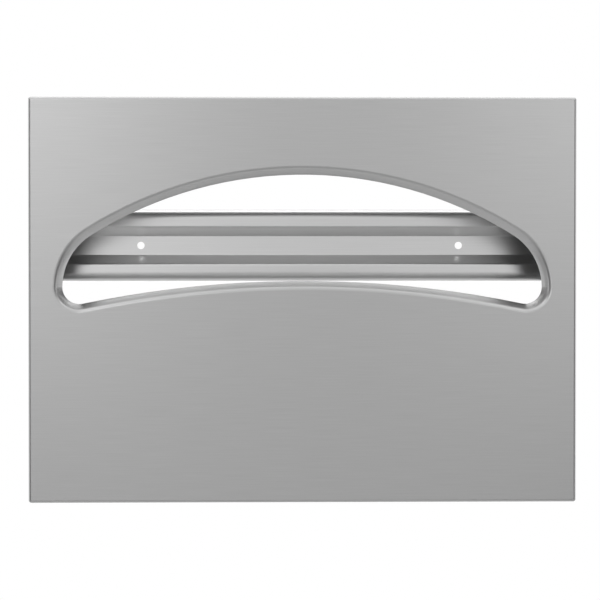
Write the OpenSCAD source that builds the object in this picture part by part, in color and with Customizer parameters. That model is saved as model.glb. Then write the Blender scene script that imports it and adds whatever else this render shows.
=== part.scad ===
// Wall-mounted dispenser for folded paper toilet seat covers.
// A sheet steel body with a crescent opening in its face, and a mounting rail across its open back.
// Frame: X across, Z up, the wall at Y = 0 and the face towards -Y. The origin lies on the wall,
// midway between the two screw holes.

/* [Body] */
// Overall width of the body
body_w = 390; // [360:1:460]
// Overall height of the body
body_h = 288.5; // [260:0.5:340]
// Depth of the body, from the wall to its face
body_d = 51; // [42:0.5:70]
// Thickness of the sheet steel
sheet_t = 0.8; // [0.6:0.05:1.2]
// Outside radius of the body's bends
bend_r = 2; // [1.6:0.1:3]
// Height of the body above the line of the screw holes
top_h = 106; // [92:0.5:128]

/* [Dispensing opening] */
// Distance from the side of the body to the end of the opening
opening_side = 23.4; // [18:0.1:32]
// Distance from the top of the body to the top of the opening
opening_top = 55; // [45:0.1:66]
// Height of the arched top edge above the widest level of the opening
crown_rise = 80.4; // [66:0.1:96]
// Radius at the upper ends of the opening
end_r = 43.8; // [34:0.1:52]
// Radius at the lower corners of the opening
corner_r = 12; // [10:0.1:16]
// Height of the middle of the lower edge above the lower corners
sill_rise = 16.4; // [12:0.1:20]

/* [Lip of the opening] */
// Outside radius of the tight bend between the face and the lip
lip_bend_r = 3.4; // [2.4:0.1:4.4]
// Angle of the tight bend
lip_bend = 50; // [42:1:54]
// Outside radius of the lip's long curve after the tight bend
lip_roll_r = 26; // [22:0.5:32]
// Angle between the face and the lip's edge
lip_angle = 64; // [60:1:74]
// Width of the hem that is folded flat behind the lip
lip_hem_w = 4; // [3:0.1:5]

/* [Back and bottom] */
// Width of the return flanges that lie on the wall
return_w = 12; // [9:0.5:16]
// Radius of the corners of the back's cut-out
return_corner_r = 6; // [4:0.5:9]
// Depth of the ledge that the packs stand on
ledge_d = 22; // [17:0.5:28]
// Radius of the loading slot's corners
slot_corner_r = 5; // [4:0.5:8]
// Width of the hem on the edge of the ledge
ledge_hem_w = 6; // [4.5:0.5:8]

/* [Mounting rail] */
// Overall height of the rail
rail_h = 53.5; // [46:0.5:66]
// Height of the flat middle of the rail, which lies on the wall
rail_pan = 13.6; // [10:0.2:17]
// Distance that the rail's flanges stand forward of its middle
rail_stand = 8; // [6:0.1:10]
// Angle of the rail's sloping webs
rail_angle = 50; // [42:1:60]
// Inside radius of the rail's bends
rail_bend_r = 0.8; // [0.6:0.1:1.2]
// Inside radius of the rail's rounded top and bottom edges
rail_edge_r = 6; // [4.5:0.1:6.8]
// Distance between the rounded edges and the wall
rail_edge_gap = 1; // [0.6:0.1:1.4]
// Gap between the rail's ends and the start of the body's bends
rail_gap = 0.2; // [0.1:0.1:0.6]
// Distance that the rail's end pads reach past the return flanges
pad_reach = 1; // [0.6:0.1:2]

/* [Screw holes] */
// Distance between the two screw holes
hole_spacing = 238; // [190:1:290]
// Diameter of the screw holes
hole_d = 5.5; // [4.5:0.1:7]

/* [Hidden] */
$fn = 96;

steel = "silver";

// Far more than the body's largest size, for half planes
far = 2000;
// How far a cutter runs past the face that it cuts
past = 1;

body_top = top_h;
body_bottom = body_top - body_h;
body_mid = (body_top + body_bottom) / 2;

// The opening's edge is a chain of tangent arcs: crown, end, corner and sill, mirrored about x = 0
half_open = body_w / 2 - opening_side;
crown_r = (pow(half_open - end_r, 2) + pow(crown_rise, 2) - pow(end_r, 2))
    / (2 * (crown_rise - end_r));
sill_r = (pow(half_open - corner_r, 2) + pow(sill_rise, 2)) / (2 * sill_rise) - corner_r;
crown_turn = asin((half_open - end_r) / (crown_r - end_r));
sill_turn = asin((half_open - corner_r) / (sill_r + corner_r));
// Centres of the arcs
crown_c = [0, body_top - opening_top - crown_r];
end_c = [half_open - end_r, crown_c.y + crown_r - crown_rise];
corner_c = [half_open - corner_r, end_c.y];
sill_c = [0, corner_c.y - corner_r + sill_rise - sill_r];

// The lip reaches this far out from the opening's edge, where its bend meets the flat face
lip_reach = lip_bend_r * sin(lip_bend) + lip_roll_r * (sin(lip_angle) - sin(lip_bend))
    + sheet_t * (1 - sin(lip_angle));
// Centres of the lip's bend and roll, and the middle of the hem's fold, in the lip's section
lip_bend_c = [lip_reach, body_d - lip_bend_r];
lip_roll_c = lip_bend_c - (lip_roll_r - lip_bend_r) * [-sin(lip_bend), cos(lip_bend)];
lip_nose_c = lip_roll_c + (lip_roll_r - sheet_t) * [-sin(lip_angle), cos(lip_angle)];
hem_start = lip_angle - lip_hem_w / (lip_roll_r - 1.5 * sheet_t) * 180 / PI;
lip_hem_end = lip_roll_c + (lip_roll_r - sheet_t) * [-sin(hem_start), cos(hem_start)];
// The swept strip laps this far onto the face, and the face's own cut stops halfway
lip_lap = 2.4;
// How far each sweep runs past its joint before it is trimmed, in degrees
spare = 2;

// Rail section, from the middle of the pan to the edge
bend_rise = (2 * rail_bend_r + sheet_t) * (1 - cos(rail_angle));
web_run = (rail_stand - bend_rise) / sin(rail_angle);
web_height = (2 * rail_bend_r + sheet_t) * sin(rail_angle) + web_run * cos(rail_angle);
flange_run = rail_h / 2 - rail_pan / 2 - web_height - rail_edge_r - sheet_t;
rail_half = body_w / 2 - bend_r - rail_gap;
pad_start = body_w / 2 - return_w - pad_reach;

// Turns a shape drawn on the face, with Y up and Z forward from the wall, to stand on the wall
module on_wall() {
    rotate([90, 0, 0]) children();
}

// Everything on one side of the X axis: side is 1 for above and -1 for below
module half_plane(side) {
    translate([-far / 2, side > 0 ? 0 : -far]) square([far, far]);
}

module half_space(side) {
    translate([0, 0, -far / 2]) linear_extrude(far) half_plane(side);
}

module quarter_disc(r) {
    intersection() {
        circle(r);
        square(2 * r);
    }
}

// A rectangle about the origin with round corners
module rounded_rect(w, h, r) {
    square([w - 2 * r, h], center = true);
    for (sx = [-1, 1]) {
        translate([sx * (w - r) / 2, 0]) square([r, h - 2 * r], center = true);
        for (sy = [-1, 1])
            translate([sx * (w / 2 - r), sy * (h / 2 - r)])
                mirror([sx < 0 ? 1 : 0, 0])
                    mirror([0, sy < 0 ? 1 : 0])
                        quarter_disc(r);
    }
}

// The rounded border of a block's flat end, as deep as its radius, lying on z = 0 and facing +Z
module rounded_end(w, h, r) {
    translate([-w / 2 + r, -h / 2 + r, 0]) cube([w - 2 * r, h - 2 * r, r]);
    for (sx = [0, 1])
        mirror([sx, 0, 0])
            translate([w / 2 - r, h / 2 - r, 0])
                rotate([90, 0, 0])
                    linear_extrude(h - 2 * r) quarter_disc(r);
    for (sy = [0, 1])
        mirror([0, sy, 0])
            translate([-w / 2 + r, h / 2 - r, 0])
                rotate([90, 0, 90])
                    linear_extrude(w - 2 * r) quarter_disc(r);
    for (sx = [0, 1], sy = [0, 1])
        mirror([sx, 0, 0])
            mirror([0, sy, 0])
                translate([w / 2 - r, h / 2 - r, 0])
                    rotate_extrude(angle = 90) quarter_disc(r);
}

// A block with all twelve edges rounded, standing on z = 0
module rounded_block(w, h, d, r) {
    translate([0, 0, r]) linear_extrude(d - 2 * r) rounded_rect(w, h, r);
    translate([0, 0, d - r]) rounded_end(w, h, r);
    translate([0, 0, r]) mirror([0, 0, 1]) rounded_end(w, h, r);
}

// A part of a ring between two radii and between two angles less than 180 degrees apart
module ring_part(r_in, r_out, from, to) {
    intersection() {
        difference() {
            circle(r_out);
            circle(r_in);
        }
        rotate(from) half_plane(1);
        rotate(to) half_plane(-1);
    }
}

// One bend of sheet, turning left for a positive angle, between inside radius r and r + sheet_t.
// The sheet lies above the X axis before it, and the bend starts at the origin.
module sheet_bend(turn, r) {
    if (turn > 0)
        translate([0, sheet_t + r]) ring_part(r, r + sheet_t, -90, turn - 90);
    else
        translate([0, -r]) ring_part(r, r + sheet_t, turn + 90, 90);
}

// Moves to the end of a bend, where the sheet again lies above the X axis
module after_bend(turn, r) {
    pivot = turn > 0 ? sheet_t + r : -r;
    translate([0, pivot]) rotate(turn) translate([0, -pivot]) children();
}

// A section of bent sheet: each step is a straight run, the bend after it and that bend's inside radius
module sheet_section(steps, i = 0) {
    if (i < len(steps)) {
        square([steps[i][0], sheet_t]);
        if (steps[i][1] != 0)
            translate([steps[i][0], 0]) {
                sheet_bend(steps[i][1], steps[i][2]);
                after_bend(steps[i][1], steps[i][2]) sheet_section(steps, i + 1);
            }
    }
}

// All that lies to the left of a line in the lip's section, seen along the line
module left_of(from, towards) {
    run = 4 * lip_roll_r * (towards - from) / norm(towards - from);
    side = [-run.y, run.x];
    polygon([from - run, from + run, from + run + side, from - run + side]);
}

module ring(centre, r_in, r_out) {
    move_exactly(centre)
        difference() {
            circle(r_out);
            circle(r_in);
        }
}

// Section of the lip, with X outward from the opening's edge and Y forward from the wall. Each piece
// is cut where the next one begins.
module lip_section() {
    bend_start = lip_bend_c + [0, lip_bend_r];
    // The lap on the face
    difference() {
        translate([lip_bend_c.x - past, body_d - sheet_t]) square([lip_lap + past, sheet_t]);
        left_of(lip_bend_c, bend_start);
    }
    // The tight bend
    difference() {
        intersection() {
            ring(lip_bend_c, lip_bend_r - sheet_t, lip_bend_r);
            left_of(lip_bend_c, bend_start);
        }
        left_of(lip_roll_c, lip_bend_c);
    }
    // The roll
    difference() {
        intersection() {
            ring(lip_roll_c, lip_roll_r - sheet_t, lip_roll_r);
            left_of(lip_roll_c, lip_bend_c);
        }
        left_of(lip_roll_c, lip_nose_c);
    }
    // The hem behind the roll
    difference() {
        intersection() {
            ring(lip_roll_c, lip_roll_r - 2 * sheet_t, lip_roll_r - sheet_t);
            left_of(lip_roll_c, lip_hem_end);
        }
        left_of(lip_roll_c, lip_nose_c);
    }
    // The fold between the two
    intersection() {
        move_exactly(lip_nose_c) circle(sheet_t);
        left_of(lip_roll_c, lip_nose_c);
    }
}

// Moves in three steps, from coarse to fine, so that files with short numbers keep the exact place
module move_exactly(v) {
    coarse = [for (c = v) round(c)];
    fine = [for (i = [0:len(v) - 1]) round((v[i] - coarse[i]) * 1000) / 1000];
    translate(coarse) translate(fine) translate(v - coarse - fine) children();
}

// Sweeps a section about a centre, from one angle to another and a little past both. The section has
// X outward from the opening's edge, which is towards the centre where the edge bulges inward.
module swept_arc(centre, r, from, to, inward = false) {
    move_exactly([centre.x, centre.y, 0])
        rotate_extrude(start = from - spare, angle = to - from + 2 * spare)
            move_exactly([r, 0])
                mirror([inward ? 1 : 0, 0]) children();
}

// All that lies between the lines from a centre through a point and through its mirror image
module fan(centre, through) {
    reach = centre + 2 * (through - centre);
    translate([0, 0, -past])
        linear_extrude(body_d + 2 * past)
            polygon([centre, reach, [-reach.x, reach.y]]);
}

// Sweeps a section round the opening's edge, arc by arc
module along_opening() {
    intersection() {
        swept_arc(crown_c, crown_r, 90 - crown_turn, 90 + crown_turn, $fn = 240) children();
        fan(crown_c, end_c);
    }
    intersection() {
        swept_arc(sill_c, sill_r, 90 - sill_turn, 90 + sill_turn, true, $fn = 240) children();
        fan(sill_c, corner_c);
    }
    for (sx = [0, 1])
        mirror([sx, 0, 0]) {
            difference() {
                intersection() {
                    swept_arc(end_c, end_r, 0, 90 - crown_turn) children();
                    translate([0, end_c.y, 0]) half_space(1);
                }
                fan(crown_c, end_c);
            }
            difference() {
                intersection() {
                    swept_arc(corner_c, corner_r, -90 - sill_turn, 0) children();
                    translate([0, end_c.y, 0]) half_space(-1);
                }
                fan(sill_c, corner_c);
            }
        }
}

// Points along an arc, without its last
function arc_points(centre, r, from, to, steps) =
    [for (i = [0:steps - 1])
        let (a = from + (to - from) * i / steps) centre + r * [cos(a), sin(a)]];

// The opening's outline, grown by a distance, as a polygon that only has to stay inside the lap
function outline(grow) = let (
    right = concat(
        arc_points(crown_c, crown_r + grow, 90, 90 - crown_turn, 8),
        arc_points(end_c, end_r + grow, 90 - crown_turn, 0, 6),
        arc_points(corner_c, corner_r + grow, 0, -90 - sill_turn, 8),
        arc_points(sill_c, sill_r - grow, 90 - sill_turn, 90, 6)
    ),
    last = len(right) - 1,
    left = [for (i = [0:last - 1]) [-right[last - i].x, right[last - i].y]]
) concat(right, [sill_c + [0, sill_r - grow]], left);

// The cut that the opening and its lip need in the face
module face_cutter() {
    translate([0, 0, body_d - sheet_t - past])
        linear_extrude(sheet_t + 2 * past) polygon(outline(lip_reach + lip_lap / 2));
}

// The cut-out of the back, open at the bottom, which leaves a return at the top and sides
module back_cutter() {
    w = body_w - 2 * return_w;
    top = body_top - return_w;
    drop = top - body_bottom + return_corner_r + past;
    translate([0, top - drop / 2, -past])
        linear_extrude(bend_r + past) rounded_rect(w, drop, return_corner_r);
}

// The loading slot in the bottom, open to the wall
module slot_cutter() {
    w = body_w - 2 * return_w;
    run = body_d - ledge_d + slot_corner_r + past;
    translate([0, body_bottom - past, body_d - ledge_d - run / 2])
        rotate([-90, 0, 0])
            linear_extrude(sheet_t + 2 * past) rounded_rect(w, run, slot_corner_r);
}

// The closed hem along the ledge's edge, on the inside
module ledge_edge() {
    w = body_w - 2 * (return_w + slot_corner_r);
    translate([-w / 2, body_bottom + sheet_t, body_d - ledge_d]) {
        cube([w, sheet_t, ledge_hem_w]);
        rotate([0, 90, 0])
            linear_extrude(w)
                intersection() {
                    circle(sheet_t);
                    translate([0, -past]) square(2 * past);
                }
    }
}

// The folded body, without what its openings need
module plain_shell() {
    difference() {
        translate([0, body_mid, 0])
            rounded_block(body_w, body_h, body_d, bend_r);
        translate([0, body_mid, sheet_t])
            rounded_block(
                body_w - 2 * sheet_t, body_h - 2 * sheet_t, body_d - 2 * sheet_t,
                bend_r - sheet_t
            );
        back_cutter();
        slot_cutter();
        face_cutter();
    }
}

module body_shell() {
    color(steel)
        on_wall() {
            plain_shell();
            ledge_edge();
            along_opening() lip_section();
        }
}

// Half of the rail's section, with X up from its middle and Y forward from the wall
module rail_section() {
    sheet_section([
        [rail_pan / 2, rail_angle, rail_bend_r],
        [web_run, -rail_angle, rail_bend_r],
        [flange_run, -90, rail_edge_r],
        [rail_stand - rail_edge_r - rail_edge_gap, 0]
    ]);
}

// The rail about y = 0, whose ends step forward to lie on the body's returns
module mounting_rail() {
    pad_h = rail_pan + 2 * rail_bend_r;
    color(steel)
        on_wall() {
            difference() {
                rotate([90, 0, 90])
                    translate([0, 0, -rail_half])
                        linear_extrude(2 * rail_half)
                            for (side = [0, 1])
                                mirror([side, 0]) rail_section();
                for (sx = [0, 1])
                    mirror([sx, 0, 0]) {
                        translate([pad_start, -rail_h, -past])
                            cube([return_w + pad_reach + past, 2 * rail_h, sheet_t + past]);
                        translate([hole_spacing / 2, 0, -past])
                            cylinder(h = sheet_t + 2 * past, d = hole_d);
                    }
            }
            for (sx = [0, 1])
                mirror([sx, 0, 0])
                    translate([pad_start - sheet_t, -pad_h / 2, sheet_t])
                        cube([rail_half - pad_start + sheet_t, pad_h, sheet_t]);
        }
}

body_shell();
mounting_rail();
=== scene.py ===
import math

import bmesh
import bpy
from bpy.props import FloatProperty, FloatVectorProperty, PointerProperty
from mathutils import Matrix, Vector


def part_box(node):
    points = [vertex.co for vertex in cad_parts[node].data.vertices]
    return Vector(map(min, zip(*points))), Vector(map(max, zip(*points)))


bl_info = {
    "name": "Seat cover dispenser",
    "version": (1, 0, 0),
    "blender": (4, 5, 0),
    "location": "View3D > Sidebar > Dispenser",
    "description": "Satin steel finishes and a studio stage for the seat cover dispenser",
    "category": "Object",
}

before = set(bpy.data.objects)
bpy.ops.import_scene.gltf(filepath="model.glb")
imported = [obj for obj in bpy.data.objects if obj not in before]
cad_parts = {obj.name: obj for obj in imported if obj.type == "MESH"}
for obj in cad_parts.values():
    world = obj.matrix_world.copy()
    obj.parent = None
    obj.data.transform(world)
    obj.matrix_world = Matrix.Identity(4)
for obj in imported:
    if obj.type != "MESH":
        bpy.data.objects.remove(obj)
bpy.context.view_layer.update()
BODY_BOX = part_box("body_shell")
MM = 0.001
X, Y, Z = 0, 1, 2

# The steel. What lies within half a sheet of the body's sides is its outside, and so is all that
# looks forwards, the face and its lip.
SKIN = 0.4 * MM
FORWARDS = -0.05
# Sheet whose normal has more than this along an axis is folded square to it.
SQUARE = 0.75
# The grinding lines: how much lighter and darker than the sheet they are, how deep, and the share
# of that depth that shows.
LINE_SHADE = 0.04
LINE_DEPTH = 0.02 * MM
LINE_STRENGTH = 0.1
# Broad faint bands of duller and smoother steel, in lengths and widths of one line.
BAND_LENGTH = 5
BAND_WIDTH = 9
BAND_DULLNESS = 0.03
# How strongly the steel smears a light across its lines rather than along them.
SMEAR = 0.7

# The stage, in metres.
FLOOR_RADIUS = 3.2
FLOOR_FADE = (0.7, 1.8)
SOFTBOX_SIZE = 1.4
LEFT_SOFTBOX = (-1.4, -1.5, 1.4)
RIGHT_SOFTBOX = (1.5, -1.5, 1.2)
# The camera's place in front of the wall, how far it looks down and to the right in degrees, and
# the shift that puts the dispenser where the photograph's crop has it.
SENSOR_WIDTH = 36
CAMERA_X, CAMERA_Z = -0.0433, 0.0092
CAMERA_DOWN, CAMERA_RIGHT = 0.56, 0.74
CAMERA_SHIFT = (0.0692, -0.0907)


def linear(colour):
    """Turns an sRGB hex colour into linear RGB."""
    steps = [int(colour[i : i + 2], 16) / 255 for i in (1, 3, 5)]
    return [c / 12.92 if c <= 0.04045 else ((c + 0.055) / 1.055) ** 2.4 for c in steps]


def add_node(tree, kind, settings=(), values=(), links=()):
    """Adds a node with its settings, its sockets' own values and its links.

    A link comes from a socket, or from a node's first one.
    """
    node = tree.nodes.new(kind)
    for name, value in dict(settings).items():
        setattr(node, name, value)
    for socket, value in dict(values).items():
        node.inputs[socket].default_value = value
    for socket, source in dict(links).items():
        if isinstance(source, bpy.types.Node):
            source = source.outputs[0]
        tree.links.new(source, node.inputs[socket])
    return node


# ---------------------------------------------------------------- settings


class SheetSteelSettings(bpy.types.PropertyGroup):
    """The finishes of the sheet steel."""

    body_colour: FloatVectorProperty(
        name="Body colour", description="Colour of the satin stainless steel of the body",
        subtype="COLOR", size=3, min=0, max=1, default=linear("#BBBBBB"))
    # The inside's darker grey is painted shade for the shadowed inside of the body; its unground
    # finish shows only in its roughness.
    shaded_inner_colour: FloatVectorProperty(
        name="Inner colour", description="Colour of the unground steel inside the body",
        subtype="COLOR", size=3, min=0, max=1, default=linear("#9C9C9C"))
    rail_colour: FloatVectorProperty(
        name="Rail colour", description="Colour of the mill-finished steel of the rail",
        subtype="COLOR", size=3, min=0, max=1, default=linear("#D7D7D7"))
    body_roughness: FloatProperty(
        name="Body roughness", description="How much the satin grain of the body scatters light",
        subtype="FACTOR", min=0.05, max=1, default=0.3)
    rail_roughness: FloatProperty(
        name="Rail roughness",
        description="How much the rolled surface of the rail and of the inside scatters light",
        subtype="FACTOR", min=0.05, max=1, default=0.29)
    grain_width: FloatProperty(
        name="Grain width", description="Distance from one grinding line to the next",
        subtype="DISTANCE", unit="LENGTH", min=0.1 * MM, max=5 * MM, default=0.6 * MM)
    grain_length: FloatProperty(
        name="Grain length", description="Length of one grinding line",
        subtype="DISTANCE", unit="LENGTH", min=2 * MM, max=500 * MM, default=30 * MM)


class StageSettings(bpy.types.PropertyGroup):
    """The studio round the dispenser. In the room's brightnesses, 1 is white."""

    camera_distance: FloatProperty(
        name="Camera distance", description="From the camera to the wall plane",
        subtype="DISTANCE", unit="LENGTH", min=0.3, max=5, default=0.951)
    lens: FloatProperty(
        name="Focal length", description="On a sensor 36 mm wide",
        subtype="DISTANCE_CAMERA", unit="CAMERA", min=20, max=200, default=76.1)
    floor_drop: FloatProperty(
        name="Height above the floor", description="From the floor to the screws' height",
        subtype="DISTANCE", unit="LENGTH", min=0.2, max=2, default=1.1)
    floor_colour: FloatVectorProperty(
        name="Floor colour", description="Colour of the plain floor",
        subtype="COLOR", size=3, min=0, max=1, default=linear("#C8C8C8"))
    key_power: FloatProperty(
        name="Left light", description="Power of the large soft light on the left, in watts",
        subtype="POWER", unit="POWER", min=0, max=500, default=4)
    fill_power: FloatProperty(
        name="Right light", description="Power of the soft light on the right, in watts",
        subtype="POWER", unit="POWER", min=0, max=500, default=3)
    room_front: FloatProperty(
        name="Room in front", description="Brightness of the room behind the camera",
        min=0, max=4, default=0.72)
    front_high: FloatProperty(
        name="Room in front, high",
        description="Brightness of the upper half of the room behind the camera",
        min=0, max=4, default=0.88)
    front_left: FloatProperty(
        name="Left window",
        description="Brightness of the bright wall up on the left, behind the camera",
        min=0, max=4, default=2.2)
    front_right: FloatProperty(
        name="Right window",
        description="Brightness of the bright wall up on the right, behind the camera",
        min=0, max=4, default=1.75)
    room_sides: FloatProperty(
        name="Room at the sides", description="Brightness of the room to the left and right",
        min=0, max=4, default=0.2)
    side_panels: FloatProperty(
        name="Side panels",
        description="Brightness of the white panels straight to the left and right",
        min=0, max=4, default=1.4)
    room_above: FloatProperty(
        name="Room above", description="Brightness of the ceiling",
        min=0, max=4, default=1.2)
    above_back: FloatProperty(
        name="Light panel above",
        description="Brightness of the ceiling's panel beyond the wall's plane",
        min=0, max=4, default=1.2)
    above_strip: FloatProperty(
        name="Light strip above",
        description="Brightness of the narrow strip in that panel, along the wall",
        min=0, max=8, default=3.1)
    room_below: FloatProperty(
        name="Room below", description="Brightness of the room under the dispenser",
        min=0, max=4, default=0.55)
    room_back: FloatProperty(
        name="Room behind", description="Brightness of the room on the wall's side",
        min=0, max=4, default=1.0)
    back_low: FloatProperty(
        name="Backdrop, low",
        description="Brightness of the backdrop's lower half, on the wall's side",
        min=0, max=8, default=3.2)


# --------------------------------------------------------------- materials


def steel_material(name, outside, inside, grain):
    """Stainless steel sheet with its grinding lines along the sheet.

    The outside and the inside are each a colour and a roughness, and the grain is the width and
    the length of a line. Object coordinates are unfolded first: the lines run along X on the
    face, the top and the ledge, and along Y on the folded sides.
    """
    (colour, roughness), (shaded_inner_colour, inner_roughness), (width, length) = outside, inside, grain
    material = bpy.data.materials.new(name)
    material.use_nodes = True
    tree = material.node_tree
    tree.nodes.clear()
    place = add_node(tree, "ShaderNodeTexCoord")
    surface = add_node(tree, "ShaderNodeNewGeometry")
    xyz = add_node(tree, "ShaderNodeSeparateXYZ", links={0: place.outputs["Object"]})
    facing = add_node(tree, "ShaderNodeSeparateXYZ", links={0: surface.outputs["Normal"]})

    unfolded = []
    for axis in (X, Z):
        lean = add_node(tree, "ShaderNodeMath", {"operation": "ABSOLUTE"},
                        links={0: facing.outputs[axis]})
        folded = add_node(tree, "ShaderNodeMath", {"operation": "GREATER_THAN"}, {1: SQUARE},
                          {0: lean})
        unfolded.append(add_node(
            tree, "ShaderNodeMix", {"data_type": "FLOAT"},
            links={"Factor": folded, "A": xyz.outputs[axis], "B": xyz.outputs[Y]}))
    along, across = unfolded
    flat = add_node(tree, "ShaderNodeCombineXYZ", links={"X": along, "Y": across})

    patterns = []
    for long, wide, detail in ((1, 1, 0), (BAND_LENGTH, BAND_WIDTH, 2)):
        scaled = add_node(tree, "ShaderNodeMapping", {"vector_type": "POINT"},
                          {"Scale": (1 / (long * length), 1 / (wide * width), 1)}, {0: flat})
        patterns.append(add_node(tree, "ShaderNodeTexNoise", values={"Scale": 1, "Detail": detail},
                                 links={"Vector": scaled}))
    lines, bands = patterns

    low, high = BODY_BOX
    outer = None
    for source, axis, test, edge in ((xyz, X, "LESS_THAN", low[X] + SKIN),
                                     (xyz, X, "GREATER_THAN", high[X] - SKIN),
                                     (xyz, Z, "LESS_THAN", low[Z] + SKIN),
                                     (xyz, Z, "GREATER_THAN", high[Z] - SKIN),
                                     (facing, Y, "LESS_THAN", FORWARDS)):
        over = add_node(tree, "ShaderNodeMath", {"operation": test}, {1: edge},
                        {0: source.outputs[axis]})
        outer = over if outer is None else add_node(
            tree, "ShaderNodeMath", {"operation": "MAXIMUM"}, links={0: outer, 1: over})

    skin = add_node(tree, "ShaderNodeMix", {"data_type": "FLOAT"},
                    {"A": inner_roughness, "B": roughness}, {"Factor": outer})
    dullness = add_node(tree, "ShaderNodeMapRange",
                        values={"From Min": 0.25, "From Max": 0.75,
                                "To Min": 1 - BAND_DULLNESS, "To Max": 1 + BAND_DULLNESS},
                        links={"Value": bands})
    rough = add_node(tree, "ShaderNodeMath", {"operation": "MULTIPLY"},
                     links={0: skin, 1: dullness})
    # A Mix node's colours are its inputs 6 and 7 and its output 2.
    # Inside the body the darker inner colour is laid on: painted shade for its shadowed inside.
    sides = add_node(tree, "ShaderNodeMix", {"data_type": "RGBA"},
                     {6: (*shaded_inner_colour, 1), 7: (*colour, 1)}, {"Factor": outer})
    grey = add_node(tree, "ShaderNodeMapRange",
                    values={"To Min": 1 - LINE_SHADE, "To Max": 1 + LINE_SHADE},
                    links={"Value": lines})
    shade = add_node(tree, "ShaderNodeVectorMath", {"operation": "SCALE"},
                     links={0: sides.outputs[2], "Scale": grey})
    bump = add_node(tree, "ShaderNodeBump",
                    values={"Strength": LINE_STRENGTH, "Distance": LINE_DEPTH},
                    links={"Height": lines})
    # The tangent stands across the lines, and isn't quite upright, so that it has a direction on
    # level sheet too.
    tangent = add_node(tree, "ShaderNodeCombineXYZ", values={"Y": 0.02, "Z": 1})
    shader = add_node(tree, "ShaderNodeBsdfPrincipled", values={"Metallic": 1, "Anisotropic": SMEAR},
                      links={"Base Color": shade, "Roughness": rough, "Normal": bump,
                             "Tangent": tangent})
    add_node(tree, "ShaderNodeOutputMaterial", links={"Surface": shader})
    return material


def finish_sheet(node, material):
    """Gives a CAD node its steel."""
    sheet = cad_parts[node]
    sheet.data.materials.clear()
    sheet.data.materials.append(material)


class DISPENSER_OT_body_shell(bpy.types.Operator):
    """Finish the folded body and its rolled lip in satin-ground stainless steel"""

    bl_idname = "dispenser.body_shell"
    bl_label = "Body shell"

    def execute(self, context):
        # Stainless sheet, belt-ground to a satin finish: a soft grey that smears each light up and
        # down, and is crossed by level grinding lines. The real lines lie about 0.15 mm apart, too
        # fine to show, so they are drawn 0.6 mm apart and faint. The inside isn't ground and its
        # rolled skin is duller; its darker grey is painted shade for the body's shadowed inside.
        steel = context.scene.sheet_steel
        finish_sheet("body_shell", steel_material(
            "satin ground stainless steel",
            (steel.body_colour, steel.body_roughness),
            (steel.shaded_inner_colour, steel.rail_roughness),
            (steel.grain_width, steel.grain_length)))
        return {"FINISHED"}


class DISPENSER_OT_mounting_rail(bpy.types.Operator):
    """Finish the folded mounting rail in mill-finished stainless steel"""

    bl_idname = "dispenser.mounting_rail"
    bl_label = "Mounting rail"

    def execute(self, context):
        # Stainless sheet as the mill rolls it, the same on both sides: paler and calmer than the
        # ground body, with rolling lines twice as long, drawn at the same 0.6 mm for the same
        # reason.
        steel = context.scene.sheet_steel
        rolled = (steel.rail_colour, steel.rail_roughness)
        finish_sheet("mounting_rail", steel_material(
            "mill finished stainless steel", rolled, rolled,
            (steel.grain_width, steel.grain_length * 2)))
        return {"FINISHED"}


# ------------------------------------------------------------------- stage


def lay_floor(scene, stage):
    """Lays the plain pale floor, a disc whose edge fades away."""
    disc = bmesh.new()
    bmesh.ops.create_circle(disc, cap_ends=True, segments=96, radius=FLOOR_RADIUS,
                            matrix=Matrix.Translation((0, 0, -stage.floor_drop)))
    mesh = bpy.data.meshes.new("floor")
    disc.to_mesh(mesh)
    disc.free()
    floor = bpy.data.objects.new("floor", mesh)
    scene.collection.objects.link(floor)

    # Matt emulsion, rolled on: a pale grey without gloss, which fades into the white room.
    paint = bpy.data.materials.new("matt floor paint")
    paint.use_nodes = True
    tree = paint.node_tree
    tree.nodes.clear()
    place = add_node(tree, "ShaderNodeTexCoord")
    flat = add_node(tree, "ShaderNodeMapping", values={"Scale": (1, 1, 0)},
                    links={0: place.outputs["Object"]})
    far = add_node(tree, "ShaderNodeVectorMath", {"operation": "LENGTH"}, links={0: flat})
    near_edge, far_edge = FLOOR_FADE
    fade = add_node(tree, "ShaderNodeMapRange", {"interpolation_type": "SMOOTHSTEP"},
                    {"From Min": near_edge, "From Max": far_edge}, {0: far.outputs["Value"]})
    matt = add_node(tree, "ShaderNodeBsdfPrincipled",
                    values={"Base Color": (*stage.floor_colour, 1), "Roughness": 0.9})
    clear = add_node(tree, "ShaderNodeBsdfTransparent")
    mix = add_node(tree, "ShaderNodeMixShader", links={0: fade, 1: matt, 2: clear})
    add_node(tree, "ShaderNodeOutputMaterial", links={"Surface": mix})
    mesh.materials.append(paint)


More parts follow.
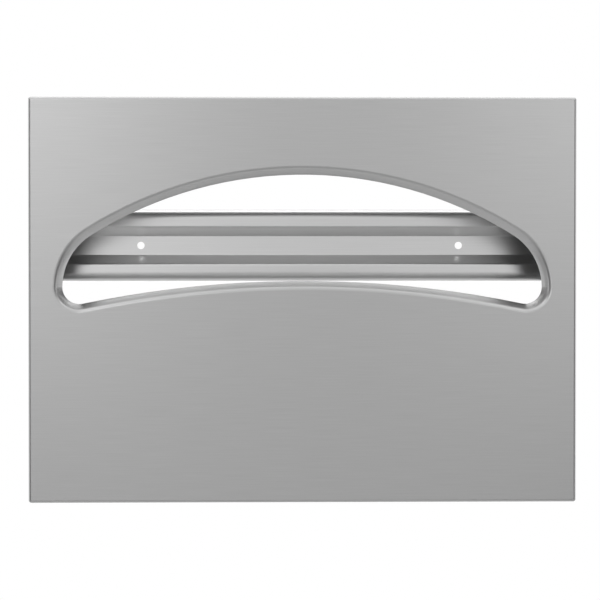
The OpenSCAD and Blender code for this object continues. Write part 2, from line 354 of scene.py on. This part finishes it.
def light_room(scene, stage):
    """Makes a room that is white to the camera, and graded by direction to what mirrors it."""
    world = bpy.data.worlds.new("white room")
    scene.world = world
    world.use_nodes = True
    tree = world.node_tree
    tree.nodes.clear()
    ray = add_node(tree, "ShaderNodeTexCoord")
    way = add_node(tree, "ShaderNodeSeparateXYZ", links={0: ray.outputs["Generated"]})
    room = add_node(tree, "ShaderNodeValue")
    room.outputs[0].default_value = stage.room_sides
    # Each side is laid over those before it: its brightness, then each axis that bounds it, with
    # the share of that axis in a direction at which the side begins and is in full.
    for brightness, *bounds in (
            (stage.side_panels, (X, -0.9, -0.99)),
            (stage.side_panels, (X, 0.9, 0.99)),
            (stage.room_back, (Y, 0.1, 0.4)),
            (stage.room_above, (Z, 0.25, 0.75)),
            (stage.above_back, (Z, 0.5, 0.8), (Y, 0.05, 0.3)),
            (stage.above_strip, (Z, 0.75, 0.88), (Y, 0.12, 0.25), (Y, 0.48, 0.4)),
            (stage.back_low, (Z, -0.25, -0.42), (Y, 0.75, 0.88)),
            (stage.room_below, (Z, -0.4, -0.85)),
            (stage.room_front, (Y, -0.85, -0.985)),
            (stage.front_high, (Z, -0.03, 0.12), (Y, -0.85, -0.95)),
            (stage.front_left, (Z, -0.02, 0.14), (X, 0, -0.2), (Y, -0.85, -0.95)),
            (stage.front_right, (Z, -0.04, 0.1), (X, 0.14, 0.27), (Y, -0.85, -0.95))):
        share = None
        for axis, start, full in bounds:
            within = add_node(tree, "ShaderNodeMapRange", {"interpolation_type": "SMOOTHSTEP"},
                              {"From Min": start, "From Max": full}, {0: way.outputs[axis]})
            share = within if share is None else add_node(
                tree, "ShaderNodeMath", {"operation": "MULTIPLY"}, links={0: share, 1: within})
        room = add_node(tree, "ShaderNodeMix", {"data_type": "FLOAT"}, {"B": brightness},
                        {"Factor": share, "A": room})
    path = add_node(tree, "ShaderNodeLightPath")
    seen = add_node(tree, "ShaderNodeMix", {"data_type": "FLOAT"}, {"B": 1},
                    {"Factor": path.outputs["Is Camera Ray"], "A": room})
    glow = add_node(tree, "ShaderNodeBackground", values={"Color": (1, 1, 1, 1)},
                    links={"Strength": seen})
    add_node(tree, "ShaderNodeOutputWorld", links={0: glow})


def hang_softbox(scene, name, place, power):
    """Adds a large square soft light that faces the dispenser and isn't seen itself."""
    data = bpy.data.lights.new(name, "AREA")
    data.size = SOFTBOX_SIZE
    data.energy = power
    light = bpy.data.objects.new(name, data)
    light.location = place
    centre = (BODY_BOX[0] + BODY_BOX[1]) / 2
    light.rotation_euler = (Vector(centre) - Vector(place)).to_track_quat("-Z", "Y").to_euler()
    light.visible_camera = False
    scene.collection.objects.link(light)


def place_camera(scene, stage):
    """Puts the camera where the photograph was taken from."""
    data = bpy.data.cameras.new("camera")
    data.sensor_width = SENSOR_WIDTH
    data.lens = stage.lens
    data.shift_x, data.shift_y = CAMERA_SHIFT
    camera = bpy.data.objects.new("camera", data)
    camera.location = (CAMERA_X, -stage.camera_distance, CAMERA_Z)
    camera.rotation_euler = (math.radians(90 - CAMERA_DOWN), 0, math.radians(-CAMERA_RIGHT))
    scene.collection.objects.link(camera)
    scene.camera = camera


class DISPENSER_OT_stage(bpy.types.Operator):
    """Set the pale floor, the white room, the soft lights and the camera"""

    bl_idname = "dispenser.stage"
    bl_label = "Stage"

    def execute(self, context):
        scene, stage = context.scene, context.scene.stage
        scene.view_settings.view_transform = "Standard"
        lay_floor(scene, stage)
        light_room(scene, stage)
        hang_softbox(scene, "left softbox", LEFT_SOFTBOX, stage.key_power)
        hang_softbox(scene, "right softbox", RIGHT_SOFTBOX, stage.fill_power)
        place_camera(scene, stage)
        return {"FINISHED"}


# ------------------------------------------------------------------- panel


class VIEW3D_PT_dispenser(bpy.types.Panel):
    """The dispenser's pieces, finishes and stage"""

    bl_label = "Seat cover dispenser"
    bl_space_type = "VIEW_3D"
    bl_region_type = "UI"
    bl_category = "Dispenser"

    def draw(self, context):
        layout = self.layout
        for settings in (context.scene.sheet_steel, context.scene.stage):
            for name in settings.bl_rna.properties.keys():
                if name not in ("rna_type", "name"):
                    layout.prop(settings, name)
        for operator in OPERATORS:
            layout.operator(operator.bl_idname)


SETTINGS = (SheetSteelSettings, StageSettings)
OPERATORS = (DISPENSER_OT_body_shell, DISPENSER_OT_mounting_rail, DISPENSER_OT_stage)


def register():
    for cls in (*SETTINGS, *OPERATORS, VIEW3D_PT_dispenser):
        bpy.utils.register_class(cls)
    bpy.types.Scene.sheet_steel = PointerProperty(type=SheetSteelSettings)
    bpy.types.Scene.stage = PointerProperty(type=StageSettings)


def unregister():
    del bpy.types.Scene.stage
    del bpy.types.Scene.sheet_steel
    for cls in reversed((*SETTINGS, *OPERATORS, VIEW3D_PT_dispenser)):
        bpy.utils.unregister_class(cls)


def main():
    """Builds the dressed dispenser."""
    register()
    bpy.ops.dispenser.body_shell()
    bpy.ops.dispenser.mounting_rail()
    bpy.ops.dispenser.stage()


if __name__ == "__main__":
    main()
